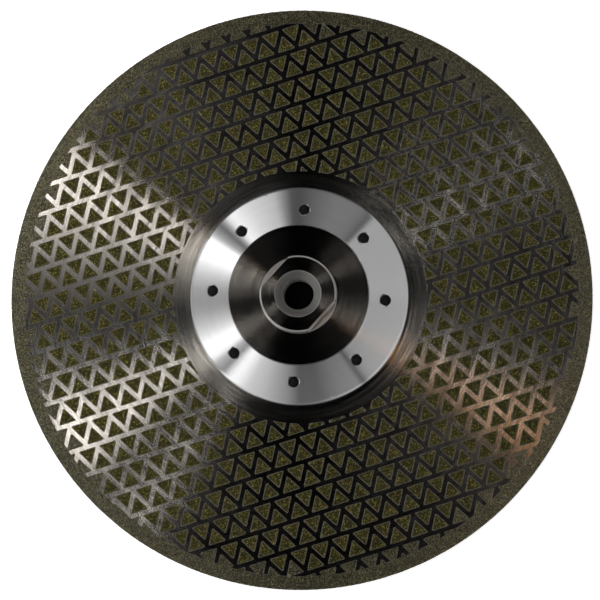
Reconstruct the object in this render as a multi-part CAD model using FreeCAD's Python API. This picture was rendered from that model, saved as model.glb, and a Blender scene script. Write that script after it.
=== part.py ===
import FreeCAD, Part
import math
import os
from FreeCAD import Vector

# A 230 mm diamond grinding disc for an angle grinder: a thin steel core, plated with diamond
# grit on both faces and round its edge, and clamped to a threaded hub.
# Millimetres. +Z runs along the spindle, from the front (working) face to the nose of the hub.
# The origin is the centre of the front face, which is also what the disc lies on.

# Steel core and its plating
DISC_RADIUS = 115.0            # outside the plating
PLATING = 0.35                 # height of the diamond plating on every surface
CORE_THICKNESS = 2.2
CENTRE_HOLE_RADIUS = 11.115    # the usual 22.23 mm arbor hole

# Plated areas: triangular pads in straight rows, and a plain band along the rim
RIM_BAND_INNER_RADIUS = 109.5
PAD_FIELD_INNER_RADIUS = 50.0
ROW_ANGLE = 17.57              # degrees between the rows and the X axis
ROW_PITCH = 10.47
PAD_PITCH = 8.483              # between neighbouring pads that point the same way
PAD_SIDE = 7.5
BARE_STRIP = 1.6               # steel left bare between two rows
FIRST_PAD_ALONG_ROW = -0.585   # offset of the pattern from the centre of the disc
FIRST_ROW_ACROSS = 1.3
PAD_CORNER_RADIUS = 0.5
SMALLEST_PAD_AREA = 1.2        # smaller clipped corners are left out
RIM_EDGE_RADIUS = 0.4

# Clamp ring: aluminium, with a conical rear face and eight tapped holes
RING_RADIUS = 43.0
RING_EDGE_HEIGHT = 2.8         # above the core
RING_SEAT_HEIGHT = 2.0         # height of the counterbore over the hub's collar
RING_EDGE_BREAK = 0.3

# Threaded hub: steel
PLATEAU_RADIUS = 27.5
PLATEAU_HEIGHT = 6.8           # above the core
COLLAR_RADIUS = 30.5
NOSE_RADIUS = 15.0
NOSE_HEIGHT = 12.0             # above the core
NOSE_CHAMFER = 0.6
WRENCH_FLAT_GAP = 25.0         # across the two flats
WRENCH_FLAT_ANGLE = -42.5      # degrees, direction in which one flat faces
WRENCH_FLAT_DEPTH = 4.0        # down from the end of the nose
THREAD_BORE_RADIUS = 6.0       # core radius of the M14 x 2 thread
COUNTERSINK_RADIUS = 9.2
COUNTERSINK_DEPTH = 2.8
PILOT_SETBACK = 0.3            # pilot end, behind the core's front face
RUNNING_GAP = 0.05             # radial gap of a located fit

# Eight M5 countersunk screws, from the front
SCREW_COUNT = 8
SCREW_CIRCLE_RADIUS = 34.0
FIRST_SCREW_ANGLE = -3.5       # degrees
SCREW_RADIUS = 2.5
SCREW_CORE_RADIUS = 2.1        # where it runs in the tapped hole
SCREW_HEAD_RADIUS = 4.55
SCREW_HEAD_SETBACK = 0.1       # head, below the core's front face
SCREW_END_HEIGHT = 3.6         # above the core
SOCKET_ACROSS_FLATS = 3.0
SOCKET_DEPTH = 1.7
CLEARANCE_HOLE_RADIUS = 2.65

CORE_FRONT = PLATING
CORE_REAR = CORE_FRONT + CORE_THICKNESS
REAR_COATING_TOP = CORE_REAR + PLATING
CORE_RADIUS = DISC_RADIUS - PLATING
PLATEAU_Z = CORE_REAR + PLATEAU_HEIGHT
NOSE_Z = CORE_REAR + NOSE_HEIGHT

os.makedirs("parts", exist_ok=True)


def export(shape, node):
    shape.exportStep("parts/" + node + ".step")


def turned(outline):
    """A solid turned round the Z axis from its (radius, z) outline."""
    points = [Vector(radius, 0, z) for radius, z in outline]
    face = Part.Face(Part.makePolygon(points + points[:1]))
    return face.revolve(Vector(0, 0, 0), Vector(0, 0, 1), 360)


def upright(radius, bottom, top, x=0.0, y=0.0):
    """A vertical cylinder."""
    return Part.makeCylinder(radius, top - bottom, Vector(x, y, bottom))


def screw_places():
    """Centres of the screws, with the angle of each."""
    for number in range(SCREW_COUNT):
        angle = math.radians(FIRST_SCREW_ANGLE + 360.0 * number / SCREW_COUNT)
        yield SCREW_CIRCLE_RADIUS * math.cos(angle), SCREW_CIRCLE_RADIUS * math.sin(angle), angle


def steel_core():
    core = upright(CORE_RADIUS, CORE_FRONT, CORE_REAR)
    core = core.cut(upright(CENTRE_HOLE_RADIUS, CORE_FRONT, CORE_REAR))
    seat_radius = SCREW_HEAD_RADIUS + SCREW_HEAD_SETBACK
    seat_depth = seat_radius - CLEARANCE_HOLE_RADIUS
    for x, y, _ in screw_places():
        seat = Part.makeCone(seat_radius, CLEARANCE_HOLE_RADIUS, seat_depth, Vector(x, y, CORE_FRONT))
        core = core.cut(seat)
        core = core.cut(upright(CLEARANCE_HOLE_RADIUS, CORE_FRONT, CORE_REAR, x, y))
    return core


def clamp_ring():
    bore = PLATEAU_RADIUS + RUNNING_GAP
    counterbore = COLLAR_RADIUS + RUNNING_GAP
    edge_top = CORE_REAR + RING_EDGE_HEIGHT
    slope = (PLATEAU_HEIGHT - RING_EDGE_HEIGHT) / (RING_RADIUS - PLATEAU_RADIUS)
    ring = turned([
        (counterbore, CORE_REAR),
        (RING_RADIUS, CORE_REAR),
        (RING_RADIUS, edge_top - RING_EDGE_BREAK),
        (RING_RADIUS - RING_EDGE_BREAK, edge_top + slope * RING_EDGE_BREAK),
        (bore, PLATEAU_Z),
        (bore, CORE_REAR + RING_SEAT_HEIGHT),
        (counterbore, CORE_REAR + RING_SEAT_HEIGHT),
    ])
    for x, y, _ in screw_places():
        ring = ring.cut(upright(SCREW_CORE_RADIUS, CORE_REAR, PLATEAU_Z, x, y))
    return ring


def threaded_hub():
    countersink_bottom = NOSE_Z - COUNTERSINK_DEPTH
    pilot_end = CORE_FRONT + PILOT_SETBACK
    pilot_radius = CENTRE_HOLE_RADIUS - RUNNING_GAP
    hub = turned([
        (THREAD_BORE_RADIUS, pilot_end),
        (pilot_radius, pilot_end),
        (pilot_radius, CORE_REAR),
        (COLLAR_RADIUS, CORE_REAR),
        (COLLAR_RADIUS, CORE_REAR + RING_SEAT_HEIGHT),
        (PLATEAU_RADIUS, CORE_REAR + RING_SEAT_HEIGHT),
        (PLATEAU_RADIUS, PLATEAU_Z),
        (NOSE_RADIUS, PLATEAU_Z),
        (NOSE_RADIUS, NOSE_Z - NOSE_CHAMFER),
        (NOSE_RADIUS - NOSE_CHAMFER, NOSE_Z),
        (COUNTERSINK_RADIUS, NOSE_Z),
        (THREAD_BORE_RADIUS, countersink_bottom),
    ])
    reach = 2 * NOSE_RADIUS
    for side in (0, 180):
        waste = Part.makeBox(reach, 2 * reach, WRENCH_FLAT_DEPTH)
        waste.translate(Vector(WRENCH_FLAT_GAP / 2, -reach, NOSE_Z - WRENCH_FLAT_DEPTH))
        waste.rotate(Vector(0, 0, 0), Vector(0, 0, 1), WRENCH_FLAT_ANGLE + side)
        hub = hub.cut(waste)
    return hub


def flange_screw(x, y, angle):
    """Countersunk screw with a hexagon socket, standing on its head at (x, y)."""
    head_bottom = CORE_FRONT + SCREW_HEAD_SETBACK
    neck = head_bottom + SCREW_HEAD_RADIUS - SCREW_RADIUS
    screw_end = CORE_REAR + SCREW_END_HEIGHT
    thread_radius = SCREW_CORE_RADIUS - RUNNING_GAP
    end_chamfer = 0.4
    screw = turned([
        (0, head_bottom),
        (SCREW_HEAD_RADIUS, head_bottom),
        (SCREW_RADIUS, neck),
        (SCREW_RADIUS, CORE_REAR),
        (thread_radius, CORE_REAR),
        (thread_radius, screw_end - end_chamfer),
        (thread_radius - end_chamfer, screw_end),
        (0, screw_end),
    ])
    corner_radius = SOCKET_ACROSS_FLATS / 2 / math.cos(math.radians(30))
    corners = []
    for corner in range(7):
        turn = math.radians(60 * corner)
        corners.append(Vector(corner_radius * math.cos(turn), corner_radius * math.sin(turn), head_bottom))
    socket = Part.Face(Part.makePolygon(corners)).extrude(Vector(0, 0, SOCKET_DEPTH))
    screw = screw.cut(socket)
    screw.rotate(Vector(0, 0, 0), Vector(0, 0, 1), math.degrees(angle))
    screw.translate(Vector(x, y, 0))
    return screw


def pad_face(along, across, points_up):
    """Flat triangle of one pad, in the row's own directions, with rounded corners."""
    height = PAD_SIDE * math.sin(math.radians(60))
    sign = 1 if points_up else -1
    corners = [
        Vector(along - PAD_SIDE / 2, across, 0),
        Vector(along + PAD_SIDE / 2, across, 0),
        Vector(along, across + sign * height, 0),
    ]
    setback = PAD_CORNER_RADIUS / math.tan(math.radians(30))
    edges = []
    for number in range(3):
        before = corners[number - 1]
        corner = corners[number]
        after = corners[(number + 1) % 3]
        start = corner + (before - corner).normalize() * setback
        end = corner + (after - corner).normalize() * setback
        middle = (before + after - corner * 2).normalize()
        nearest = corner + middle * PAD_CORNER_RADIUS
        following = corners[(number + 1) % 3]
        next_start = following + (corner - following).normalize() * setback
        edges.append(Part.Arc(start, nearest, end).toShape())
        edges.append(Part.makeLine(end, next_start))
    return Part.Face(Part.Wire(edges))


def pad_rows():
    """Triangles that touch the plated area, row by row, turned to the rows' angle."""
    row_height = ROW_PITCH - BARE_STRIP
    reach = int(DISC_RADIUS / PAD_PITCH) + 2
    for row in range(-reach, reach):
        base = FIRST_ROW_ACROSS + row * ROW_PITCH
        faces = []
        for step in range(-2 * reach, 2 * reach):
            along = FIRST_PAD_ALONG_ROW + step * PAD_PITCH / 2
            points_up = step % 2 == 0
            across = base if points_up else base + row_height
            distance = math.hypot(along, across)
            if PAD_FIELD_INNER_RADIUS - PAD_SIDE < distance < DISC_RADIUS:
                faces.append(pad_face(along, across, points_up))
        for face in faces:
            face.rotate(Vector(0, 0, 0), Vector(0, 0, 1), ROW_ANGLE)
        if faces:
            yield faces


def sort_pads():
    """Rows of free pads, and the pads that grow together with the rim band."""
    hole = Part.Face(Part.Wire(Part.makeCircle(PAD_FIELD_INNER_RADIUS)))
    overlap = 0.2
    field = Part.Face(Part.Wire(Part.makeCircle(RIM_BAND_INNER_RADIUS + overlap)))
    free_rows = []
    joined = []
    for faces in pad_rows():
        free = []
        for face in faces:
            distances = [vertex.Point.Length for vertex in face.Vertexes]
            if min(distances) >= RIM_BAND_INNER_RADIUS:
                continue
            if max(distances) > RIM_BAND_INNER_RADIUS:
                joined.append(face.common(field))
                continue
            if min(distances) < PAD_FIELD_INNER_RADIUS:
                face = face.cut(hole)
            if face.Area >= SMALLEST_PAD_AREA:
                free.append(face)
        if free:
            free_rows.append(free)
    return free_rows, joined


def raised(face, bottom):
    """The face's first region as a plate of the plating's height."""
    plate = face.Faces[0].extrude(Vector(0, 0, PLATING))
    plate.translate(Vector(0, 0, bottom))
    return plate


def mirrored(shape):
    """The same pattern for the front face, as it is seen from the front."""
    return shape.mirror(Vector(0, 0, 0), Vector(1, 0, 0))


def rim_coating(joined):
    """Plating that wraps round the edge of the core, with the pads that run into it."""
    band = turned([
        (RIM_BAND_INNER_RADIUS, 0),
        (DISC_RADIUS, 0),
        (DISC_RADIUS, REAR_COATING_TOP),
        (RIM_BAND_INNER_RADIUS, REAR_COATING_TOP),
        (RIM_BAND_INNER_RADIUS, CORE_REAR),
        (CORE_RADIUS, CORE_REAR),
        (CORE_RADIUS, CORE_FRONT),
        (RIM_BAND_INNER_RADIUS, CORE_FRONT),
    ])
    outer_edges = [edge for edge in band.Edges if is_outer_circle(edge)]
    band = band.makeFillet(RIM_EDGE_RADIUS, outer_edges)
    rear = [raised(face, CORE_REAR) for face in joined]
    front = [raised(mirrored(face), 0) for face in joined]
    return band.multiFuse(rear + front)


def is_outer_circle(edge):
    curve = edge.Curve
    return isinstance(curve, Part.Circle) and abs(curve.Radius - DISC_RADIUS) < 0.01


def main():
    export(steel_core(), "steel_core")
    export(clamp_ring(), "clamp_ring")
    export(threaded_hub(), "threaded_hub")
    for number, (x, y, angle) in enumerate(screw_places(), start=1):
        export(flange_screw(x, y, angle), "flange_screw_%d" % number)
    free_rows, joined = sort_pads()
    export(rim_coating(joined), "rim_coating")
    for number, row in enumerate(free_rows, start=1):
        rear = [raised(face, CORE_REAR) for face in row]
        front = [raised(mirrored(face), 0) for face in row]
        export(Part.makeCompound(rear), "rear_pad_row_%02d" % number)
        export(Part.makeCompound(front), "front_pad_row_%02d" % number)


main()
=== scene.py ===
import math

import bmesh
import bpy
import numpy as np
from mathutils import Matrix, Vector
from mathutils.geometry import delaunay_2d_cdt


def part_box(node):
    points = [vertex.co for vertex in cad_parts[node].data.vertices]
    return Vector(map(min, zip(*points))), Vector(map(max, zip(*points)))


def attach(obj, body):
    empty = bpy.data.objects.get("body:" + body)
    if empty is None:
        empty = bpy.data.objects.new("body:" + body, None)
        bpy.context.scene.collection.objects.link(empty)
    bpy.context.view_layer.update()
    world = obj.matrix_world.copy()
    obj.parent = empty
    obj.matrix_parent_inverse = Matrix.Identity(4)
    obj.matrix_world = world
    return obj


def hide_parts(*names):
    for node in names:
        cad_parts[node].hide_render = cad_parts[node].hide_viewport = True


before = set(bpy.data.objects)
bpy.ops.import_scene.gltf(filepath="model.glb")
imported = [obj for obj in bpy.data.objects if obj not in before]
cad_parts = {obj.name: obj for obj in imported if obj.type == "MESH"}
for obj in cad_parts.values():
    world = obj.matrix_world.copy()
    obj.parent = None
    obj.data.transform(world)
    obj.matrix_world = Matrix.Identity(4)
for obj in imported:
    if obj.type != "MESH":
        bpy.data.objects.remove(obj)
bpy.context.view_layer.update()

# A 230 mm diamond grinding disc, lying on its front face with the threaded hub upwards.
# Lengths in this script are millimetres until a mesh is made, and +Z is the spindle axis.
MM = 0.001
WELD_DISTANCE = 0.002


def low(node):
    return np.array(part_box(node)[0]) / MM


def high(node):
    return np.array(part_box(node)[1]) / MM


# Heights and radii that the frame gives
FRONT_TOP = low("rim_coating")[2]
REAR_TOP = high("rim_coating")[2]
CORE_FRONT = low("steel_core")[2]
CORE_REAR = high("steel_core")[2]
DISC_RADIUS = high("rim_coating")[0]
CORE_RADIUS = high("steel_core")[0]
RING_RADIUS = high("clamp_ring")[0]
PLATEAU_TOP = high("clamp_ring")[2]
PILOT_END = low("threaded_hub")[2]
NOSE_TOP = high("threaded_hub")[2]
COLLAR_RADIUS = high("threaded_hub")[0]
SCREW_HEAD_Z = low("flange_screw_1")[2]
SCREW_END_Z = high("flange_screw_1")[2]

# Hub
PILOT_RADIUS = 11.065
PLATEAU_RADIUS = 27.5
COLLAR_TOP = CORE_REAR + 2.0
NOSE_RADIUS = 15.0
NOSE_CHAMFER = 0.6
NOSE_FILLET = 0.15
NOSE_TOP_RADII = (12.0, 10.5)  # where the nose's flat end is divided
PLATEAU_RADII = (24.0, 20.0, 17.0, NOSE_RADIUS + NOSE_FILLET + 0.04)
FLAT_GAP = 25.0
FLAT_ANGLE = math.radians(-42.5)
LEDGE_Z = NOSE_TOP - 4.0
THREAD_CREST_RADIUS = 6.0
THREAD_PITCH = 2.0
COUNTERSINK_RADIUS = 9.2
COUNTERSINK_DEPTH = 2.8
PILOT_CHAMFER = 0.3
LEDGE_FILLET = 0.2
HUB_EDGE_BREAK = 0.12
HUB_STEPS = 288
THREAD_ROWS = 18               # rows of points to a pitch
BORE_MOUTH = 1.0               # chamfer at the thread's lower end
MOUTH_STEP = 0.1               # from the bore's ends to the next row of points
CREST_START = 0.75             # where a thread's crest starts, in half pitches from the root
ROOT_END = 0.125               # and where the root ends

# Clamp ring and its screws
RING_BORE = 27.55
RING_COUNTERBORE = 30.55
RING_EDGE_Z = CORE_REAR + 2.8
SCREW_COUNT = 8
SCREW_CIRCLE = 34.0
FIRST_SCREW = math.radians(-3.5)
TAPPED_CREST_RADIUS = 2.1
SCREW_PITCH = 0.8
SCREW_HEAD_RADIUS = 4.55
SCREW_SHANK_RADIUS = 2.5
SOCKET_FLATS = 3.0
SOCKET_DEPTH = 1.7
SOCKET_CHAMFER = 0.18
SOCKET_CHAMFER_DEPTH = 0.2
SOCKET_CONE = 0.35             # height of the cone at the socket's end
SOCKET_TAPER = 0.96            # size of the socket at the foot of that cone
THREAD_GAP = 0.05
THREAD_TURN = 0.1              # how much higher each thread starts than the last one
THREAD_HEIGHT = 0.541          # depth of a thread as a share of its pitch
RING_EDGE_BREAK = 0.14
RING_BORE_BREAK = 0.15
RING_EDGE_STEP = 0.04
HOLE_MOUTH = 0.12
HOLE_MOUTH_SLOPE = 0.6
HOLE_ROWS = 56
SCREW_EDGE_BREAK = 0.12
SCREW_ROWS = 42
SCREW_ROW_GAP = 0.05
SCREW_FACE_RADIUS = 3.2        # where the head's flat face is divided
SCREW_CONE_RADIUS = TAPPED_CREST_RADIUS - 0.35
SCREW_END_RADIUS = TAPPED_CREST_RADIUS - 0.5

# Plating
GRAIN_SPACING = 0.47
GRAIN_SIZE = 0.30
SHOULDER = 0.55                # width of the smooth nickel border of a pad
RIM_SHOULDER = 0.44
BORDER_HEIGHT = 0.21           # top of that border above the steel
MATRIX_HEIGHT = 0.11           # binder between the grains, above the steel
PLATING_HEIGHT = REAR_TOP - CORE_REAR
RIM_REACH = DISC_RADIUS - CORE_RADIUS - MATRIX_HEIGHT - 0.02
RIM_STEPS = 720
RIM_ROUNDING = 0.4
PAD_GRAIN_START = 0.78         # where the grains begin, as a share of the border's width
RIM_GRAIN_START = 0.8
ROWS = 20
RIM_FACE_OVERLAP = 0.1         # how far a face's grains reach over the rim's rounding
EDGE_MARGIN = RIM_ROUNDING * 0.3
LARGEST_LEAN = math.pi / 4     # of the edge's grains, towards the faces
LEAN_POWER = 7                 # how close to the faces they start to lean
RIM_SEED = 7
REAR_SEED = 1000
MOST_SHRUNK = 0.8
FLAT_TOLERANCE = 0.01

# Slots of the plated pieces' materials, and of the hub's
BORDER, GRAINS, BINDING = range(3)
METAL, BORE, LEDGE, EDGES = range(4)


class Shell:
    """Points and faces of one piece, gathered part by part. slots holds each face's material."""

    def __init__(self):
        self.points = []
        self.faces = []
        self.slots = []
        self.smooth = []
        self.count = 0

    def add(self, points, faces, slot=0, smooth=True):
        """Adds faces that all have the same number of corners."""
        faces = np.asarray(faces, np.int64) + self.count
        self.points.append(np.asarray(points, float).reshape(-1, 3))
        self.faces.append(faces)
        self.slots.append(np.full(len(faces), slot))
        self.smooth.append(np.full(len(faces), smooth))
        self.count += len(self.points[-1])

    def piece(self, name, materials, replaced, crease=None, weld=False):
        mesh = bpy.data.meshes.new(name)
        points = np.concatenate(self.points) * MM
        corners = np.concatenate([f.ravel() for f in self.faces])
        sizes = np.concatenate([np.full(len(f), f.shape[1]) for f in self.faces])
        mesh.vertices.add(len(points))
        mesh.vertices.foreach_set("co", points.ravel())
        mesh.loops.add(len(corners))
        mesh.loops.foreach_set("vertex_index", corners)
        mesh.polygons.add(len(sizes))
        mesh.polygons.foreach_set("loop_start", np.concatenate([[0], np.cumsum(sizes)[:-1]]))
        mesh.polygons.foreach_set("material_index", np.concatenate(self.slots))
        mesh.polygons.foreach_set("use_smooth", np.concatenate(self.smooth))
        mesh.update(calc_edges=True)
        if weld:
            weld_points(mesh)
        if crease:
            mesh.set_sharp_from_angle(angle=math.radians(crease))
        for material in materials:
            mesh.materials.append(material)
        made = bpy.data.objects.new(name, mesh)
        bpy.context.scene.collection.objects.link(made)
        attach(made, "root")
        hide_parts(*replaced)


def weld_points(mesh):
    """Joins points that lie on each other where two parts of a piece meet."""
    work = bmesh.new()
    work.from_mesh(mesh)
    bmesh.ops.remove_doubles(work, verts=work.verts, dist=WELD_DISTANCE * MM)
    work.to_mesh(mesh)
    work.free()


def turned(shell, angles, rows, closed=True, centre=(0.0, 0.0), slot=0):
    """Adds a surface swept round an axis.

    Each row is (radius, z), as numbers or as arrays over the angles.
    """
    count = len(angles)
    points = np.empty((len(rows), count, 3))
    for row, (radius, z) in zip(points, rows):
        row[:, 0] = centre[0] + radius * np.cos(angles)
        row[:, 1] = centre[1] + radius * np.sin(angles)
        row[:, 2] = z
    shell.add(points, strip_faces(len(rows), count, closed), slot)


def strip_faces(rows, count, closed):
    """Quads between rings of points. closed also joins the last ring to the first."""
    first = np.arange(rows if closed else rows - 1)[:, None]
    here = np.arange(count)[None, :]
    after = (here + 1) % count
    up = (first + 1) % rows
    quads = [first * count + here, first * count + after, up * count + after, up * count + here]
    return np.stack(quads, -1).reshape(-1, 4)


def thread_depth(angles, z, pitch, start=0.0):
    """How far a right-handed internal thread is cut outwards at each angle and height."""
    turn = (z - start) / pitch - angles / (2 * math.pi)
    offset = np.abs(turn - np.floor(turn) - 0.5) * 2
    return THREAD_HEIGHT * pitch * np.clip((CREST_START - offset) / (CREST_START - ROOT_END), 0, 1)


def fillet(centre_radius, centre_z, size, first, last, steps=5):
    """Rows of an arc in the radius and height plane, between two angles in degrees."""
    turns = np.radians(np.linspace(first, last, steps))
    return [(centre_radius + size * math.cos(t), centre_z + size * math.sin(t)) for t in turns]


# --- Materials -------------------------------------------------------------------------


class Nodes:
    """A material's node tree, with short calls to add to it."""

    def __init__(self, name):
        self.material = bpy.data.materials.new(name)
        self.material.use_nodes = True
        self.tree = self.material.node_tree
        self.shader = self.tree.nodes["Principled BSDF"]

    def new(self, kind, **settings):
        node = self.tree.nodes.new(kind)
        for key, value in settings.items():
            setattr(node, key, value)
        return node

    def join(self, source, target):
        self.tree.links.new(source, target)

    def math(self, operation, first, second=None):
        node = self.new("ShaderNodeMath", operation=operation)
        for socket, value in zip(node.inputs, (first, second)):
            if value is None:
                continue
            if isinstance(value, (int, float)):
                socket.default_value = value
            else:
                self.join(value, socket)
        return node.outputs[0]

    def noise(self, vector, scale, detail=3.0, rough=0.55):
        node = self.new("ShaderNodeTexNoise")
        node.inputs["Scale"].default_value = scale
        node.inputs["Detail"].default_value = detail
        node.inputs["Roughness"].default_value = rough
        self.join(vector, node.inputs["Vector"])
        return node.outputs["Fac"]

    def spread(self, value, low_in, high_in, low_out, high_out):
        node = self.new("ShaderNodeMapRange")
        node.inputs["From Min"].default_value = low_in
        node.inputs["From Max"].default_value = high_in
        node.inputs["To Min"].default_value = low_out
        node.inputs["To Max"].default_value = high_out
        self.join(value, node.inputs["Value"])
        return node.outputs["Result"]

    def blend(self, factor, first, second):
        node = self.new("ShaderNodeMix", data_type="RGBA")
        self.join(factor, node.inputs[0])
        for socket, value in ((node.inputs[6], first), (node.inputs[7], second)):
            if isinstance(value, tuple):
                socket.default_value = (*value, 1.0)
            else:
                self.join(value, socket)
        return node.outputs[2]

    def object_mm(self):
        """Object coordinates in millimetres."""
        place = self.new("ShaderNodeTexCoord").outputs["Object"]
        scaled = self.new("ShaderNodeVectorMath", operation="SCALE")
        scaled.inputs["Scale"].default_value = 1 / MM
        self.join(place, scaled.inputs[0])
        return scaled.outputs[0]

    def round_axis(self, place, along, across):
        """Coordinates that follow circles about Z: slow along them, and quick across them."""
        parts = self.new("ShaderNodeSeparateXYZ")
        self.join(place, parts.inputs[0])
        x, y, z = parts.outputs
        squares = self.math("ADD", self.math("MULTIPLY", x, x), self.math("MULTIPLY", y, y))
        radius = self.math("SQRT", squares)
        safe = self.math("MAXIMUM", radius, 0.01)
        mixed = self.new("ShaderNodeCombineXYZ")
        self.join(self.math("MULTIPLY", self.math("DIVIDE", x, safe), along), mixed.inputs[0])
        self.join(self.math("MULTIPLY", self.math("DIVIDE", y, safe), along), mixed.inputs[1])
        height = self.math("MULTIPLY", z, across)
        self.join(self.math("ADD", self.math("MULTIPLY", radius, across), height), mixed.inputs[2])
        return mixed.outputs[0]

    def bump(self, height, strength, distance_mm):
        node = self.new("ShaderNodeBump")
        node.inputs["Strength"].default_value = strength
        node.inputs["Distance"].default_value = distance_mm * MM
        self.join(height, node.inputs["Height"])
        self.join(node.outputs["Normal"], self.shader.inputs["Normal"])

    def brushed_round(self, anisotropic):
        """Turns the shader's stretched gloss across the tool marks that run round the axis."""
        tangent = self.new("ShaderNodeTangent", direction_type="RADIAL", axis="Z")
        self.join(tangent.outputs[0], self.shader.inputs["Tangent"])
        self.shader.inputs["Anisotropic"].default_value = anisotropic
        self.shader.inputs["Anisotropic Rotation"].default_value = 0.25


def turned_metal(name, dark, light, smooth, rough, anisotropic, marks, depth_mm):
    """Metal with fine marks round the axis.

    dark and light are the ends of its colour, smooth and rough those of its roughness, and marks
    is how many tool marks there are to a millimetre.
    """
    n = Nodes(name)
    place = n.object_mm()
    fine = n.noise(n.round_axis(place, 1.8, marks), 1.0, 4.0, 0.7)
    broad = n.noise(n.round_axis(place, 1.3, marks * 0.2), 1.0, 3.0, 0.6)
    patch = n.noise(place, 0.08, 3.0)
    mixed = n.math("ADD", n.math("MULTIPLY", fine, 0.55), n.math("MULTIPLY", broad, 0.45))
    shade = n.math("ADD", n.math("MULTIPLY", mixed, 0.8), n.math("MULTIPLY", patch, 0.2))
    colour = n.blend(n.spread(shade, 0.38, 0.62, 0.0, 1.0), dark, light)
    n.join(colour, n.shader.inputs["Base Color"])
    n.join(n.spread(mixed, 0.35, 0.65, smooth, rough), n.shader.inputs["Roughness"])
    n.shader.inputs["Metallic"].default_value = 1.0
    n.brushed_round(anisotropic)
    n.bump(mixed, 1.0, depth_mm)
    return n.material


def screw_material():
    """Steel blackened in a salt bath."""
    n = Nodes("black_oxide")
    place = n.object_mm()
    mottle = n.noise(place, 1.5, 4.0)
    colour = n.blend(mottle, (0.008, 0.008, 0.009), (0.03, 0.029, 0.028))
    n.join(colour, n.shader.inputs["Base Color"])
    n.join(n.spread(mottle, 0.3, 0.7, 0.3, 0.55), n.shader.inputs["Roughness"])
    n.shader.inputs["Metallic"].default_value = 0.85
    n.bump(n.noise(place, 9.0, 3.0), 0.4, 0.02)
    return n.material


def nickel_material(name, dark, light):
    """Electroplated nickel that holds the grains."""
    n = Nodes(name)
    place = n.object_mm()
    mottle = n.noise(place, 2.2, 5.0)
    n.join(n.blend(mottle, dark, light), n.shader.inputs["Base Color"])
    n.join(n.spread(mottle, 0.3, 0.7, 0.36, 0.22), n.shader.inputs["Roughness"])
    n.shader.inputs["Metallic"].default_value = 1.0
    n.brushed_round(0.9)
    n.bump(n.noise(place, 5.0, 4.0), 0.6, 0.05)
    return n.material


def grain_material(name, dark, middle, light):
    """Synthetic diamond grit. Every grain has a tone of its own."""
    n = Nodes(name)
    place = n.object_mm()
    own = n.new("ShaderNodeNewGeometry").outputs["Random Per Island"]
    ramp = n.new("ShaderNodeValToRGB")
    n.join(own, ramp.inputs[0])
    ramp.color_ramp.elements[0].color = (*dark, 1)
    ramp.color_ramp.elements[0].position = 0.25
    ramp.color_ramp.elements[1].color = (*light, 1)
    ramp.color_ramp.elements.new(0.7).color = (*middle, 1)
    cloud = n.spread(n.noise(place, 2.0, 3.0), 0.3, 0.7, 0.0, 0.5)
    n.join(n.blend(cloud, ramp.outputs[0], dark), n.shader.inputs["Base Color"])
    n.join(n.spread(own, 0.0, 1.0, 0.35, 0.12), n.shader.inputs["Roughness"])
    n.shader.inputs["IOR"].default_value = 1.5
    n.shader.inputs["Specular IOR Level"].default_value = 0.3
    n.bump(n.noise(place, 6.0, 3.0), 0.3, 0.03)
    return n.material


STEEL = turned_metal(
    "core_steel", dark=(0.34, 0.325, 0.305), light=(0.66, 0.64, 0.61),
    smooth=0.105, rough=0.155, anisotropic=1.0, marks=1.0, depth_mm=0.0008,
)
RING_METAL = turned_metal(
    "ring_aluminium", dark=(0.87, 0.87, 0.88), light=(0.93, 0.93, 0.93),
    smooth=0.085, rough=0.11, anisotropic=1.0, marks=5.0, depth_mm=0.0005,
)
HUB_METAL = turned_metal(
    "hub_steel", dark=(0.46, 0.44, 0.42), light=(0.64, 0.61, 0.58),
    smooth=0.075, rough=0.105, anisotropic=1.0, marks=5.0, depth_mm=0.0006,
)
HUB_BORE = turned_metal(
    "hub_bore", dark=(0.36, 0.35, 0.335), light=(0.52, 0.51, 0.49),
    smooth=0.50, rough=0.62, anisotropic=0.3, marks=4.0, depth_mm=0.003,
)
HUB_LEDGE = turned_metal(
    "hub_ledge", dark=(0.34, 0.33, 0.32), light=(0.50, 0.49, 0.47),
    smooth=0.28, rough=0.40, anisotropic=0.2, marks=4.0, depth_mm=0.003,
)
HUB_EDGE = turned_metal(
    "hub_edge", dark=(0.54, 0.53, 0.52), light=(0.70, 0.69, 0.68),
    smooth=0.34, rough=0.42, anisotropic=0.3, marks=4.0, depth_mm=0.002,
)
BLACK_STEEL = screw_material()
NICKEL = nickel_material("nickel_border", (0.11, 0.105, 0.075), (0.30, 0.285, 0.22))
# Painted shade: the pads' nickel between the grains is given a far darker colour than the border's
# nickel, standing in for the shade between the grains
BINDER_PAINTED_SHADE = nickel_material("nickel_binder_painted_shade", (0.03, 0.027, 0.010), (0.12, 0.11, 0.05))
RIM_NICKEL = nickel_material("rim_nickel", (0.11, 0.105, 0.075), (0.34, 0.325, 0.25))
GRIT = grain_material(
    "diamond_grit", dark=(0.024, 0.021, 0.003), middle=(0.11, 0.10, 0.015), light=(0.55, 0.50, 0.13)
)
RIM_GRIT = grain_material(
    "rim_grit", dark=(0.016, 0.014, 0.003), middle=(0.070, 0.063, 0.016), light=(0.45, 0.42, 0.21)
)


# --- Grains ----------------------------------------------------------------------------

# An octahedron
CRYSTAL = np.array([(1, 0, 0), (-1, 0, 0), (0, 1, 0), (0, -1, 0), (0, 0, 1), (0, 0, -1)], float)
CRYSTAL_FACES = np.array([
    (0, 2, 4), (2, 1, 4), (1, 3, 4), (3, 0, 4), (2, 0, 5), (1, 2, 5), (3, 1, 5), (0, 3, 5),
])
SIZE_RANGE = (0.72, 1.25)      # of whole grains, as a share of GRAIN_SIZE
STRETCH_RANGE = (0.8, 1.2)     # of each of a grain's axes
SUNK_RANGE = (0.0, 0.09)       # how far below the highest tip a grain's tip may be
SCATTER = 0.3                  # how far a grain strays from the grid, in spacings


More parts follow.
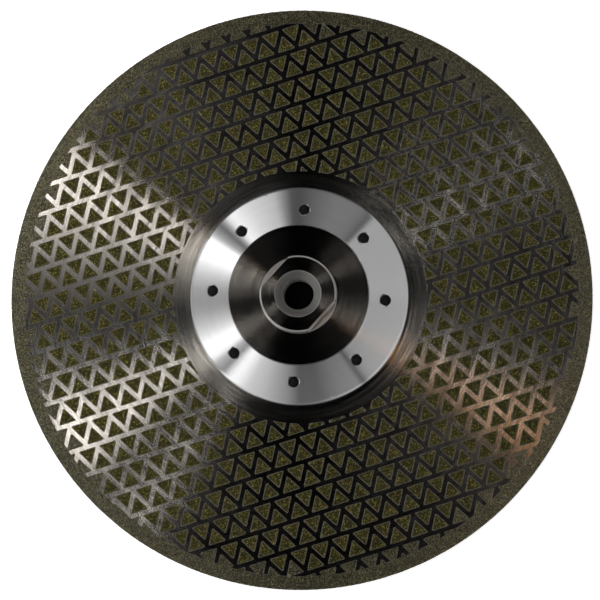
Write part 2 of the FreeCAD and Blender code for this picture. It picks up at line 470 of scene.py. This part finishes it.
def random_turns(chance, count):
    """Rotation matrices, spread evenly over all directions."""
    q = chance.normal(size=(count, 4))
    q /= np.linalg.norm(q, axis=1)[:, None]
    w, x, y, z = q.T
    rows = [
        (1 - 2 * (y * y + z * z), 2 * (x * y - z * w), 2 * (x * z + y * w)),
        (2 * (x * y + z * w), 1 - 2 * (x * x + z * z), 2 * (y * z - x * w)),
        (2 * (x * z - y * w), 2 * (y * z + x * w), 1 - 2 * (x * x + y * y)),
    ]
    return np.stack([np.stack(r, -1) for r in rows], 1)


def add_grains(shell, chance, places, outward, tip, slot):
    """Adds one crystal at each place, sunk so that its tip is at a height along outward."""
    count = len(places)
    if not count:
        return
    size = GRAIN_SIZE * chance.uniform(*SIZE_RANGE, (count, 1, 1))
    size = size * chance.uniform(*STRETCH_RANGE, (count, 1, 3))
    crystals = np.einsum("nij,nkj->nki", random_turns(chance, count), CRYSTAL[None] * size)
    reach = np.einsum("nki,ni->nk", crystals, outward).max(1)
    sink = tip - chance.uniform(*SUNK_RANGE, count) - reach
    points = crystals + (places + outward * sink[:, None])[:, None, :]
    points[:, :, 2] = points[:, :, 2].clip(FRONT_TOP, REAR_TOP)
    faces = CRYSTAL_FACES[None] + (np.arange(count) * len(CRYSTAL))[:, None, None]
    shell.add(points, faces.reshape(-1, 3), slot, smooth=False)


def scattered(chance, low_corner, high_corner):
    """Places on an uneven triangular grid that covers a rectangle."""
    rise = GRAIN_SPACING * math.sin(math.radians(60))
    across = np.arange(low_corner[1], high_corner[1] + rise, rise)
    along = np.arange(low_corner[0], high_corner[0] + GRAIN_SPACING, GRAIN_SPACING)
    x, y = np.meshgrid(along, across)
    x = x + (np.arange(len(across)) % 2)[:, None] * GRAIN_SPACING / 2
    grid = np.stack([x.ravel(), y.ravel()], 1)
    return grid + chance.uniform(-SCATTER, SCATTER, grid.shape) * GRAIN_SPACING


def inside(ring, places):
    """Which places lie inside a closed ring of points."""
    x, y = places[:, 0][:, None], places[:, 1][:, None]
    x0, y0 = ring[:, 0], ring[:, 1]
    x1, y1 = np.roll(x0, -1), np.roll(y0, -1)
    spans = (y0 > y) != (y1 > y)
    rise = np.where(y1 == y0, 1e-9, y1 - y0)
    return (spans & (x < x0 + (y - y0) * (x1 - x0) / rise)).sum(1) % 2 == 1


# --- Pads and rim ----------------------------------------------------------------------


def outlines(node, z):
    """Outlines of a node's flat faces at height z: rings of points with the face on their left."""
    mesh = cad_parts[node].data
    points = np.empty(len(mesh.vertices) * 3)
    mesh.vertices.foreach_get("co", points)
    points = points.reshape(-1, 3) / MM
    mesh.calc_loop_triangles()
    corners = np.empty(len(mesh.loop_triangles) * 3, np.int32)
    mesh.loop_triangles.foreach_get("vertices", corners)
    corners = corners.reshape(-1, 3)
    flat = (np.abs(points[corners][:, :, 2] - z) < FLAT_TOLERANCE).all(1)
    places = np.round(points[:, :2], 4)
    _, same = np.unique(places, axis=0, return_inverse=True)
    same = same.ravel()
    first = np.zeros(same.max() + 1, np.int64)
    first[same] = np.arange(len(same))
    edges = set()
    for a, b, c in same[corners[flat]]:
        edges.update(((a, b), (b, c), (c, a)))
    following = {a: b for a, b in edges if (b, a) not in edges}
    rings = []
    while following:
        start, here = following.popitem()
        ring = [start]
        while here != start:
            ring.append(here)
            here = following.pop(here)
        rings.append(points[first[ring], :2])
    rings.sort(key=lambda ring: (round(float(ring[:, 1].mean()), 3), float(ring[:, 0].mean())))
    return rings


def left_side(ring):
    """Unit steps along a ring, and the directions to the left of its edges."""
    ahead = np.roll(ring, -1, 0) - ring
    length = np.linalg.norm(ahead, axis=1)[:, None]
    ahead = ahead / length
    return ahead, np.stack([-ahead[:, 1], ahead[:, 0]], 1), length


def inset(ring, distance):
    """The ring moved to its left, each corner along its mitre."""
    _, left, _ = left_side(ring)
    before = np.roll(left, 1, 0)
    mitre = (left + before) / (1 + np.sum(left * before, 1))[:, None]
    return ring + mitre * distance


def shrunk(ring, distance):
    """A convex ring drawn in towards its middle by a distance."""
    _, left, length = left_side(ring)
    middle = ((ring + np.roll(ring, -1, 0)) / 2 * length).sum(0) / length.sum()
    depth = np.sum((middle - ring) * left * length) / length.sum()
    return middle + (ring - middle) * (1 - min(distance / depth, MOST_SHRUNK))


def area(ring):
    """A ring's area, negative where it runs clockwise."""
    x, y = ring.T
    return 0.5 * float(np.sum(x * np.roll(y, -1) - y * np.roll(x, -1)))


# Profile of a pad's edge: the share of the border's width in from the outline, and the height
BORDER_SHAPE = [(0.0, 0.0), (0.05, 0.5), (0.16, 0.82), (0.36, 1.0), (0.62, 0.97), (0.82, 0.8)]
EDGE_PROFILE = [(step, rise * BORDER_HEIGHT) for step, rise in BORDER_SHAPE]
EDGE_PROFILE += [(1.0, MATRIX_HEIGHT)]


def add_pad(shell, chance, ring, base, side):
    """One pad: nickel with a raised, rounded border, and grains inside it.

    side is 1 on the rear face and -1 on the front face.
    """
    if area(ring) < 0:
        ring = ring[::-1]
    count = len(ring)
    rows = np.empty((len(EDGE_PROFILE), count, 3))
    for row, (step, rise) in zip(rows, EDGE_PROFILE):
        row[:, :2] = shrunk(ring, step * SHOULDER)
        row[:, 2] = base + side * rise
    strips = strip_faces(len(rows), count, False)
    cap = (len(rows) - 1) * count + np.arange(count)
    foot = np.arange(count)[::-1]
    if side < 0:
        strips = strips[:, ::-1]
        cap, foot = cap[::-1], foot[::-1]
    shell.add(rows, strips)
    shell.slots[-1][-count:] = BINDING
    shell.faces.append(cap[None] + shell.count - rows[..., 0].size)
    shell.faces.append(foot[None] + shell.count - rows[..., 0].size)
    shell.slots.append(np.array([BINDING, BORDER]))
    shell.smooth.append(np.zeros(2, bool))
    inner = shrunk(ring, SHOULDER * PAD_GRAIN_START)
    places = scattered(chance, inner.min(0), inner.max(0))
    places = places[inside(inner, places)]
    places = np.column_stack([places, np.full(len(places), base)])
    outward = np.tile((0.0, 0.0, float(side)), (len(places), 1))
    add_grains(shell, chance, places, outward, PLATING_HEIGHT, GRAINS)


def pad_row(face, number):
    """All the pads of one row on one face of the disc."""
    rear = face == "rear"
    node = "%s_pad_row_%02d" % (face, number)
    chance = np.random.default_rng(REAR_SEED * rear + number)
    shell = Shell()
    for ring in outlines(node, REAR_TOP if rear else FRONT_TOP):
        add_pad(shell, chance, ring, CORE_REAR if rear else CORE_FRONT, 1 if rear else -1)
    # The pads' binder material carries painted shade between the grains
    shell.piece("%s_pads_%02d" % (face, number), [NICKEL, GRIT, BINDER_PAINTED_SHADE], [node])


def add_flat_cap(shell, outer, inner, z, side, slot=0):
    """Fills the flat region between an outer ring and an inner one."""
    points = [Vector(p) for p in np.vstack([outer, inner])]
    n, m = len(outer), len(inner)
    edges = [(i, (i + 1) % n) for i in range(n)] + [(n + i, n + (i + 1) % m) for i in range(m)]
    placed, _, faces, *_ = delaunay_2d_cdt(points, edges, [], 0, 1e-6)
    flat = np.array([tuple(p) for p in placed])
    faces = np.array([f[:3] for f in faces])
    middle = flat[faces].mean(1)
    hole = inside(inner, middle)
    faces = faces[~hole]
    if side < 0:
        faces = faces[:, ::-1]
    shell.add(np.column_stack([flat, np.full(len(flat), z)]), faces, slot)


def rim_grit(part, chance, places, outward, tip):
    """One part of the rim's grains, as a piece of its own."""
    shell = Shell()
    add_grains(shell, chance, places, outward, tip, 0)
    shell.piece("rim_grit_" + part, [RIM_GRIT], ["rim_coating"])


def add_rim_face(shell, chance, side, circle, flat_radius):
    """The rim's band on one face, whose inner outline follows the pads that run into it."""
    rear = side > 0
    base = CORE_REAR if rear else CORE_FRONT
    rings = outlines("rim_coating", REAR_TOP if rear else FRONT_TOP)
    inner = min(rings, key=lambda ring: abs(area(ring)))
    if area(inner) > 0:
        inner = inner[::-1]
    strip = np.empty((len(EDGE_PROFILE), len(inner), 3))
    for row, (step, rise) in zip(strip, EDGE_PROFILE):
        row[:, :2] = inset(inner, step * RIM_SHOULDER)
        row[:, 2] = base + side * rise
    quads = strip_faces(len(strip), len(inner), False)
    shell.add(strip, quads if rear else quads[:, ::-1])
    shell.slots[-1][-len(inner):] = BINDING
    cap_inner = strip[-1, ::-1, :2]
    add_flat_cap(shell, circle * flat_radius, cap_inner, base + side * MATRIX_HEIGHT, side, BINDING)
    add_flat_cap(shell, circle * CORE_RADIUS, inner[::-1], base, -side)
    reach = np.array([DISC_RADIUS, DISC_RADIUS])
    places = scattered(chance, -reach, reach)
    radius = np.linalg.norm(places, axis=1)
    innermost = np.linalg.norm(inner, axis=1).min()
    places = places[(radius > innermost) & (radius < flat_radius + RIM_FACE_OVERLAP)]
    places = places[~inside(inset(inner, RIM_SHOULDER * RIM_GRAIN_START), places)]
    places = np.column_stack([places, np.full(len(places), base)])
    outward = np.tile((0.0, 0.0, float(side)), (len(places), 1))
    upper_half = places[:, 1] > 0
    for number, half in enumerate((upper_half, ~upper_half), 1):
        part = "%s_%d" % ("rear" if rear else "front", number)
        rim_grit(part, chance, places[half], outward[half], PLATING_HEIGHT)


def add_edge_grains(chance, flat_radius, front_z, rear_z):
    """Grains round the rim's edge, which lean over towards the faces at its two roundings."""
    around = scattered(chance, (0.0, front_z), (2 * math.pi * DISC_RADIUS, rear_z))
    height = (around[:, 1] - (front_z + rear_z) / 2) / (rear_z - front_z) * 2
    lean = np.clip(height, -1, 1) ** LEAN_POWER * LARGEST_LEAN
    turn = around[:, 0] / DISC_RADIUS
    x, y = np.cos(turn), np.sin(turn)
    outward = np.column_stack([x * np.cos(lean), y * np.cos(lean), np.sin(lean)])
    edge_radius = flat_radius + RIM_ROUNDING * np.cos(lean)
    places = np.column_stack([x * edge_radius, y * edge_radius, around[:, 1]])
    places[:, 2] = places[:, 2].clip(front_z + EDGE_MARGIN, rear_z - EDGE_MARGIN)
    rim_grit("edge", chance, places, outward, RIM_REACH)


def rim():
    """The plating that wraps round the edge, with the pads that run into it."""
    chance = np.random.default_rng(RIM_SEED)
    shell = Shell()
    angles = np.arange(RIM_STEPS) * 2 * math.pi / RIM_STEPS
    circle = np.stack([np.cos(angles), np.sin(angles)], 1)
    flat_radius = CORE_RADIUS + MATRIX_HEIGHT - RIM_ROUNDING
    rear_z = CORE_REAR + MATRIX_HEIGHT
    front_z = CORE_FRONT - MATRIX_HEIGHT
    rows = [(flat_radius, front_z)]
    rows += fillet(flat_radius, front_z + RIM_ROUNDING, RIM_ROUNDING, -90, 0)
    rows += fillet(flat_radius, rear_z - RIM_ROUNDING, RIM_ROUNDING, 0, 90)
    turned(shell, angles, rows, closed=False, slot=BINDING)
    turned(shell, angles, [(CORE_RADIUS, CORE_REAR), (CORE_RADIUS, CORE_FRONT)], closed=False)
    for side in (1, -1):
        add_rim_face(shell, chance, side, circle, flat_radius)
    add_edge_grains(chance, flat_radius, front_z, rear_z)
    shell.piece("rim_plating", [NICKEL, RIM_GRIT, RIM_NICKEL], ["rim_coating"])


# --- Hub -------------------------------------------------------------------------------


def hub():
    """Plateau, nose with two wrench flats, countersink and a real M14 x 2 thread."""
    half = FLAT_GAP / 2
    chamfer_top = NOSE_RADIUS - NOSE_CHAMFER
    corner = [math.acos(half / NOSE_RADIUS), math.acos(half / chamfer_top)]
    both = [sign * c for sign in (1, -1) for c in corner]
    special = [FLAT_ANGLE + side + c for side in (0, math.pi) for c in both]
    even = np.arange(HUB_STEPS) * 2 * math.pi / HUB_STEPS
    angles = np.unique(np.mod(np.concatenate([even, special]), 2 * math.pi))
    facing = np.abs(np.cos(angles - FLAT_ANGLE))
    flat = np.minimum(half / np.maximum(facing, 0.01), 2 * NOSE_RADIUS)
    on_nose = np.minimum(flat, NOSE_RADIUS)
    edge = HUB_EDGE_BREAK
    rows = [(PILOT_RADIUS - PILOT_CHAMFER, PILOT_END), (PILOT_RADIUS, PILOT_END + PILOT_CHAMFER)]
    rows += [(PILOT_RADIUS, CORE_REAR), (COLLAR_RADIUS, CORE_REAR), (COLLAR_RADIUS, COLLAR_TOP)]
    rows += [(PLATEAU_RADIUS, COLLAR_TOP), (PLATEAU_RADIUS, PLATEAU_TOP - edge)]
    rows += [(PLATEAU_RADIUS - edge, PLATEAU_TOP)]
    rows += [(radius, PLATEAU_TOP) for radius in PLATEAU_RADII]
    foot = len(rows)
    rows += fillet(NOSE_RADIUS + NOSE_FILLET, PLATEAU_TOP + NOSE_FILLET, NOSE_FILLET, 270, 180)
    foot_end = len(rows) - 1
    ledge = len(rows) + 1
    rows += [(NOSE_RADIUS, LEDGE_Z - edge), (np.maximum(on_nose, NOSE_RADIUS - edge), LEDGE_Z)]
    rows += [(np.minimum(on_nose + LEDGE_FILLET, NOSE_RADIUS), LEDGE_Z)]
    rows += [(on_nose, LEDGE_Z + LEDGE_FILLET)]
    chamfer = len(rows)
    rows += [(on_nose, NOSE_TOP - NOSE_CHAMFER)]
    rows += [(np.minimum(flat, chamfer_top + edge), NOSE_TOP - edge)]
    rows += [(np.minimum(flat - edge, chamfer_top), NOSE_TOP)]
    chamfer_end = len(rows) - 1
    for radius in (*NOSE_TOP_RADII, COUNTERSINK_RADIUS):
        rows.append((np.minimum(flat - edge, radius), NOSE_TOP))
    slope = (COUNTERSINK_RADIUS - THREAD_CREST_RADIUS) / COUNTERSINK_DEPTH
    bore = len(rows)
    for z in np.arange(NOSE_TOP - MOUTH_STEP, PILOT_END, -THREAD_PITCH / THREAD_ROWS):
        cut = THREAD_CREST_RADIUS + thread_depth(angles, z, THREAD_PITCH)
        cone = COUNTERSINK_RADIUS - (NOSE_TOP - z) * slope
        lower_cone = THREAD_CREST_RADIUS + BORE_MOUTH - (z - PILOT_END)
        rows.append((np.maximum(np.maximum(cut, cone), lower_cone), z))
    rows.append((THREAD_CREST_RADIUS + BORE_MOUTH + MOUTH_STEP, PILOT_END))
    shell = Shell()
    turned(shell, angles, rows, slot=METAL)
    slots = shell.slots[-1].reshape(len(rows), len(angles))
    slots[bore:] = BORE
    slots[bore - 1:bore + 2] = EDGES
    slots[ledge] = LEDGE
    slots[foot:foot_end] = EDGES
    slots[chamfer:chamfer_end] = EDGES
    metals = [HUB_METAL, HUB_BORE, HUB_LEDGE, HUB_EDGE]
    shell.piece("hub_body", metals, ["threaded_hub"], crease=28)


# --- Clamp ring ------------------------------------------------------------------------

HOLE_STEPS = 96
PATCH_STEPS = 14
PATCH_CROWDING = 1.5           # above 1, a patch's rows are closer near its hole


def ring_height(radius):
    """Height of the ring's conical rear face."""
    slope = (PLATEAU_TOP - RING_EDGE_Z) / (RING_RADIUS - RING_BORE)
    return RING_EDGE_Z + (RING_RADIUS - radius) * slope


def foot_height(radius):
    """Height of the ring's flat front face."""
    return np.full(radius.shape, CORE_REAR)


def hole_patch(number, inner, outer, hole_radius, height):
    """A ring's sector with a hole in it: points from the hole's rim out to the sector's border."""
    middle_angle = FIRST_SCREW + 2 * math.pi * number / SCREW_COUNT
    turn = np.arange(HOLE_STEPS) * 2 * math.pi / HOLE_STEPS
    square = np.stack([np.cos(turn), np.sin(turn)], 1)
    square /= np.abs(square).max(1)[:, None]
    radius = (inner + outer) / 2 + square[:, 0] * (outer - inner) / 2
    angle = middle_angle + square[:, 1] * math.pi / SCREW_COUNT
    border = np.stack([radius * np.cos(angle), radius * np.sin(angle)], 1)
    centre = SCREW_CIRCLE * np.array([math.cos(middle_angle), math.sin(middle_angle)])
    out = np.array([math.cos(middle_angle), math.sin(middle_angle)])
    side = np.array([-out[1], out[0]])
    round_hole = np.cos(turn)[:, None] * out + np.sin(turn)[:, None] * side
    rim_points = centre + hole_radius[:, None] * round_hole
    shares = np.linspace(0, 1, PATCH_STEPS)[:, None, None] ** PATCH_CROWDING
    flat = rim_points + (border - rim_points) * shares
    return np.concatenate([flat, height(np.linalg.norm(flat, axis=2))[..., None]], 2)


def tapped_radius(number, z):
    """Radius of a tapped hole round its own axis, at one height for each step round the hole."""
    turn = np.arange(HOLE_STEPS) * 2 * math.pi / HOLE_STEPS
    return TAPPED_CREST_RADIUS + thread_depth(turn, z, SCREW_PITCH, THREAD_TURN * number)


def clamp_ring():
    """Conical ring with eight tapped holes, made as eight sectors round the holes."""
    shell = Shell()
    edge = RING_EDGE_BREAK
    top_outer = RING_RADIUS - edge
    top_inner = RING_BORE + RING_BORE_BREAK
    mouth = HOLE_MOUTH
    for number in range(SCREW_COUNT):
        middle_angle = FIRST_SCREW + 2 * math.pi * number / SCREW_COUNT
        turn = np.arange(HOLE_STEPS) * 2 * math.pi / HOLE_STEPS
        rim_z = ring_height(SCREW_CIRCLE + TAPPED_CREST_RADIUS * np.cos(turn))
        rim_radius = tapped_radius(number, rim_z - mouth) + mouth * HOLE_MOUTH_SLOPE
        patch = hole_patch(number, top_inner, top_outer, rim_radius, ring_height)
        shell.add(patch, strip_faces(PATCH_STEPS, HOLE_STEPS, False)[:, ::-1])
        rim_z = patch[0, :, 2]
        wall = [(rim_radius, rim_z)]
        for level in np.linspace(0, 1, HOLE_ROWS):
            z = (rim_z - mouth) * (1 - level) + CORE_REAR * level
            wall.append((tapped_radius(number, z), z))
        centre = SCREW_CIRCLE * np.array([math.cos(middle_angle), math.sin(middle_angle)])
        turned(shell, turn + middle_angle, wall, closed=False, centre=centre)
        foot_radius = tapped_radius(number, np.full(HOLE_STEPS, CORE_REAR))
        foot = hole_patch(number, RING_COUNTERBORE, RING_RADIUS, foot_radius, foot_height)
        shell.add(foot, strip_faces(PATCH_STEPS, HOLE_STEPS, False))
    # The same angles as the sectors' borders have, so that the sides meet them point by point
    eighth = np.arctan(1.0) * np.linspace(-1, 1, HOLE_STEPS // 4 + 1)[:-1]
    sector = np.tan(eighth) * math.pi / SCREW_COUNT
    middles = [FIRST_SCREW + 2 * math.pi * k / SCREW_COUNT for k in range(SCREW_COUNT)]
    angles = np.concatenate([middle + sector for middle in middles])
    outer = [(RING_RADIUS, CORE_REAR), (RING_RADIUS, RING_EDGE_Z - edge)]
    outer += [(RING_RADIUS - RING_EDGE_STEP, RING_EDGE_Z - RING_EDGE_STEP)]
    outer += [(top_outer, ring_height(top_outer))]
    turned(shell, angles, outer, closed=False)
    inner = [(top_inner, ring_height(top_inner)), (RING_BORE, PLATEAU_TOP - RING_BORE_BREAK)]
    inner += [(RING_BORE, COLLAR_TOP), (RING_COUNTERBORE, COLLAR_TOP)]
    inner += [(RING_COUNTERBORE, CORE_REAR)]
    turned(shell, angles, inner, closed=False)
    shell.piece(
        "clamp_ring_body", [RING_METAL], ["clamp_ring"], crease=28, weld=True
    )


# --- Screws ----------------------------------------------------------------------------


def screw(number):
    """Countersunk M5 screw with a hexagon socket and a cut thread that fits the ring's."""
    node = "flange_screw_%d" % (number + 1)
    middle_angle = FIRST_SCREW + 2 * math.pi * number / SCREW_COUNT
    turn = np.arange(HOLE_STEPS) * 2 * math.pi / HOLE_STEPS
    hexagon = SOCKET_FLATS / 2 / np.cos(np.mod(turn, math.pi / 3) - math.pi / 6)
    rows = [(0.0, SCREW_HEAD_Z + SOCKET_DEPTH)]
    rows += [(hexagon * SOCKET_TAPER, SCREW_HEAD_Z + SOCKET_DEPTH - SOCKET_CONE)]
    rows += [(hexagon, SCREW_HEAD_Z + SOCKET_CHAMFER_DEPTH)]
    rows += [(hexagon + SOCKET_CHAMFER, SCREW_HEAD_Z), (SCREW_FACE_RADIUS, SCREW_HEAD_Z)]
    rows += [(SCREW_HEAD_RADIUS - SCREW_EDGE_BREAK, SCREW_HEAD_Z)]
    rows += [(SCREW_HEAD_RADIUS, SCREW_HEAD_Z + SCREW_EDGE_BREAK / 2)]
    neck = SCREW_HEAD_Z + SCREW_HEAD_RADIUS - SCREW_SHANK_RADIUS
    rows += [(SCREW_SHANK_RADIUS, neck), (SCREW_SHANK_RADIUS, CORE_REAR - SCREW_ROW_GAP)]
    for z in np.linspace(CORE_REAR, SCREW_END_Z - SCREW_ROW_GAP, SCREW_ROWS):
        cone = SCREW_CONE_RADIUS + (SCREW_END_Z - z)
        rows.append((np.minimum(tapped_radius(number, z) - THREAD_GAP, cone), z))
    rows += [(SCREW_END_RADIUS, SCREW_END_Z), (0.0, SCREW_END_Z)]
    centre = SCREW_CIRCLE * np.array([math.cos(middle_angle), math.sin(middle_angle)])
    shell = Shell()
    turned(shell, turn + middle_angle, rows, closed=False, centre=centre)
    name = "screw_%d" % (number + 1)
    shell.piece(name, [BLACK_STEEL], [node], crease=30, weld=True)


# --- Studio ----------------------------------------------------------------------------

CAMERA_TILT = math.radians(6.8)
CAMERA_LEAN = (0.54, -0.84)
CAMERA_DISTANCE = 953.0
CAMERA_TARGET = (0.079, -1.273, 2.2)
CAMERA_LENS = 144.97
SENSOR_WIDTH = 36.0


def camera():
    """A long lens high above the disc, leaning a little from its axis."""
    across, along = (math.sin(CAMERA_TILT) * part for part in CAMERA_LEAN)
    back = Vector((across, along, math.cos(CAMERA_TILT))).normalized()
    right = Vector((0, 1, 0)).cross(back).normalized()
    up = back.cross(right)
    place = Vector(CAMERA_TARGET) * MM + back * CAMERA_DISTANCE * MM
    data = bpy.data.cameras.new("camera")
    data.lens = CAMERA_LENS
    data.sensor_width = SENSOR_WIDTH
    made = bpy.data.objects.new("camera", data)
    matrix = Matrix((right, up, back)).transposed().to_4x4()
    matrix.translation = place
    made.matrix_world = matrix
    bpy.context.scene.collection.objects.link(made)
    bpy.context.scene.camera = made


# The table glows evenly from below, but under the disc its glow fades out and its colour is painted
# near black: a painted shadow of the disc
FLOOR_GLOW = 0.85
FLOOR_SIZE = 3.0
FLOOR_GAP = 0.2
SHADE_START = DISC_RADIUS - 25
SHADE_END = DISC_RADIUS - 1


def floor():
    data = bpy.data.meshes.new("floor")
    size = FLOOR_SIZE
    corners = [(-size, -size, 0), (size, -size, 0), (size, size, 0), (-size, size, 0)]
    data.from_pydata(corners, [], [(0, 1, 2, 3)])
    n = Nodes("floor")
    n.shader.inputs["Roughness"].default_value = 0.9
    n.shader.inputs["Specular IOR Level"].default_value = 0.0
    n.shader.inputs["Emission Color"].default_value = (1, 1, 1, 1)
    reach = n.new("ShaderNodeVectorMath", operation="LENGTH")
    n.join(n.object_mm(), reach.inputs[0])
    # Painted shadow: the floor's colour goes near black and its glow fades out under the disc,
    # coming back between SHADE_START and SHADE_END from the centre
    outside_painted_shadow = n.spread(reach.outputs["Value"], SHADE_START, SHADE_END, 0.0, 1.0)
    floor_tone_with_painted_shadow = n.blend(outside_painted_shadow, (0.01, 0.01, 0.01), (0.9, 0.9, 0.9))
    n.join(floor_tone_with_painted_shadow, n.shader.inputs["Base Color"])
    n.join(n.math("MULTIPLY", outside_painted_shadow, FLOOR_GLOW), n.shader.inputs["Emission Strength"])
    data.materials.append(n.material)
    made = bpy.data.objects.new("floor", data)
    made.location = (0, 0, (FRONT_TOP - FLOOR_GAP) * MM)
    bpy.context.scene.collection.objects.link(made)


# A wall of softboxes round the disc: azimuth in degrees, and the wall's radiance there
WALL_ZENITH = (24, 47)
WALL = (
    (0, 0.43), (50, 0.38), (58, 0.40), (59.5, 0.06), (63, 0.16), (68, 0.19), (78, 0.19), (87, 0.14),
    (96, 0.075), (100, 0.09), (104, 0.27), (108, 0.53), (120, 0.76), (128, 1.05), (130.5, 0.90),
    (132.5, 0.35), (135, 0.13), (140, 0.45), (142, 1.15), (148, 1.50), (152, 1.08), (157, 0.74),
    (162, 0.51), (167, 0.37), (173, 0.32), (178, 0.36), (183, 0.52), (189, 0.79), (194, 1.20),
    (203, 1.15), (205, 0.48), (209, 0.39), (211.5, 0.12), (214, 0.75), (217, 1.15), (221, 1.09),
    (228, 0.70), (234, 0.63), (247, 0.42), (254, 0.33), (262, 0.15), (276, 0.18), (292, 0.36),
    (304, 0.42), (308, 0.18), (312, 0.46), (317, 0.53), (337, 0.54), (360, 0.43),
)
WALL_PEAK = 1.5

# More panels: azimuth from and to, zenith angle from and to, radiance, tint
WHITE = (1.0, 1.0, 1.0)
WARM = (1.0, 0.955, 0.90)
AMBER = (1.0, 0.50, 0.20)
PANELS = (
    (15, 30, 17, 22, 0.40, WARM),
    (120, 133, 17, 24, 0.25, WARM),
    (138, 148, 17, 24, 9.50, WARM),
    (148, 154, 17, 24, 2.40, WARM),
    (170, 175, 17, 24, 1.80, WHITE),
    (190, 196, 17, 24, 0.80, WARM),
    (136, 148, 10, 17, 1.20, WARM),
    (170, 178, 10, 17, 2.40, WARM),
    (190, 197, 10, 17, 0.30, WARM),
    (206, 212, 10, 17, 0.60, WARM),
    (174, 185, 11, 16, 9.00, WARM),
    (199, 206, 11, 16.5, 7.50, WARM),
    (318, 332, 10, 17, 0.60, WARM),
    (335, 345, 10, 17, 1.80, AMBER),
    (343, 362, 8, 13, 1.00, AMBER),
    (345, 366, 6, 9.5, 3.50, AMBER),
    (0, 360, 47, 84, 0.075, WHITE),
    (0, 360, 84, 102, 0.80, WHITE),
    (145, 240, 50, 80, 0.40, WHITE),
)
PANEL_EDGE = 1.2               # degrees over which a panel's edge fades


class World:
    """The studio's light as a function of direction."""

    def __init__(self):
        world = bpy.data.worlds.new("studio")
        world.use_nodes = True
        bpy.context.scene.world = world
        self.tree = world.node_tree
        place = self.tree.nodes.new("ShaderNodeTexCoord").outputs["Generated"]
        parts = self.tree.nodes.new("ShaderNodeSeparateXYZ")
        self.tree.links.new(place, parts.inputs[0])
        x, y, z = parts.outputs
        turn = self.math("MULTIPLY", self.math("ARCTAN2", y, x), 180 / math.pi)
        self.azimuth = self.math("WRAP", turn, 360.0, 0.0)
        self.zenith = self.math("MULTIPLY", self.math("ARCCOSINE", z), 180 / math.pi)
        self.total = self.wall()

    def math(self, operation, *values):
        node = self.tree.nodes.new("ShaderNodeMath")
        node.operation = operation
        for socket, value in zip(node.inputs, values):
            if isinstance(value, (int, float)):
                socket.default_value = value
            else:
                self.tree.links.new(value, socket)
        return node.outputs[0]

    def within(self, value, first, last):
        """1 between two angles, with a soft step at either end."""
        apart = self.math("SUBTRACT", value, (first + last) / 2)
        apart = self.math("ABSOLUTE", self.math("WRAP", apart, 180.0, -180.0))
        node = self.tree.nodes.new("ShaderNodeMapRange")
        node.interpolation_type = "SMOOTHSTEP"
        half = (last - first) / 2
        node.inputs["From Min"].default_value = half + PANEL_EDGE / 2
        node.inputs["From Max"].default_value = half - PANEL_EDGE / 2
        self.tree.links.new(apart, node.inputs["Value"])
        return node.outputs["Result"]

    def wall(self):
        """Radiance of the wall of softboxes, which changes along it."""
        node = self.tree.nodes.new("ShaderNodeFloatCurve")
        curve = node.mapping.curves[0]
        for _ in range(len(WALL) - 2):
            curve.points.new(0.5, 0.5)
        for point, (azimuth, radiance) in zip(curve.points, WALL):
            point.location = (azimuth / 360, radiance / WALL_PEAK)
            point.handle_type = "VECTOR"
        node.mapping.update()
        self.tree.links.new(self.math("DIVIDE", self.azimuth, 360.0), node.inputs["Value"])
        bright = self.math("MULTIPLY", node.outputs[0], WALL_PEAK)
        return self.math("MULTIPLY", bright, self.within(self.zenith, *WALL_ZENITH))

    def add_panel(self, azimuth_from, azimuth_to, zenith_from, zenith_to, radiance, tint):
        """Adds an even patch of light between two azimuths and two zenith angles."""
        share = self.within(self.zenith, zenith_from, zenith_to)
        if azimuth_to - azimuth_from < 360:
            sideways = self.within(self.azimuth, azimuth_from, azimuth_to)
            share = self.math("MULTIPLY", share, sideways)
        node = self.tree.nodes.new("ShaderNodeVectorMath")
        node.operation = "SCALE"
        node.inputs[0].default_value = [radiance * part for part in tint]
        self.tree.links.new(share, node.inputs["Scale"])
        both = self.tree.nodes.new("ShaderNodeVectorMath")
        self.tree.links.new(self.total, both.inputs[0])
        self.tree.links.new(node.outputs[0], both.inputs[1])
        self.total = both.outputs[0]


def softbox(name, azimuth, zenith, distance, size, radiance):
    """A square panel that faces the disc, near enough for its light to fall off across it.

    It only lights the matt surfaces: the gloss on the metal shows the world's panels.
    """
    a, z = math.radians(azimuth), math.radians(zenith)
    out = Vector((math.sin(z) * math.cos(a), math.sin(z) * math.sin(a), math.cos(z)))
    data = bpy.data.lights.new(name, "AREA")
    data.size = size
    data.energy = radiance * math.pi * size * size
    made = bpy.data.objects.new(name, data)
    sideways = Vector((-math.sin(a), math.cos(a), 0))
    matrix = Matrix((sideways, out.cross(sideways), out)).transposed().to_4x4()
    matrix.translation = out * distance
    made.matrix_world = matrix
    made.visible_camera = False
    made.visible_glossy = False
    bpy.context.scene.collection.objects.link(made)


def studio():
    """A dark ceiling round the camera, with soft light on all sides of it."""
    world = World()
    for panel in PANELS:
        world.add_panel(*panel)
    world.tree.links.new(world.total, world.tree.nodes["Background"].inputs[0])
    softbox("left_fill", azimuth=172, zenith=62, distance=0.42, size=0.12, radiance=18.0)


def colours():
    """Plain display colours, with no film look."""
    scene = bpy.context.scene
    scene.view_settings.view_transform = "Standard"
    scene.view_settings.look = "None"
    scene.view_settings.exposure = 0.0
    scene.view_settings.gamma = 1.0


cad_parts["steel_core"].data.materials.clear()
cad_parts["steel_core"].data.materials.append(STEEL)
hub()
clamp_ring()
for screw_number in range(SCREW_COUNT):
    screw(screw_number)
rim()
for row_number in range(1, ROWS + 1):
    pad_row("rear", row_number)
    pad_row("front", row_number)
camera()
floor()
studio()
colours()
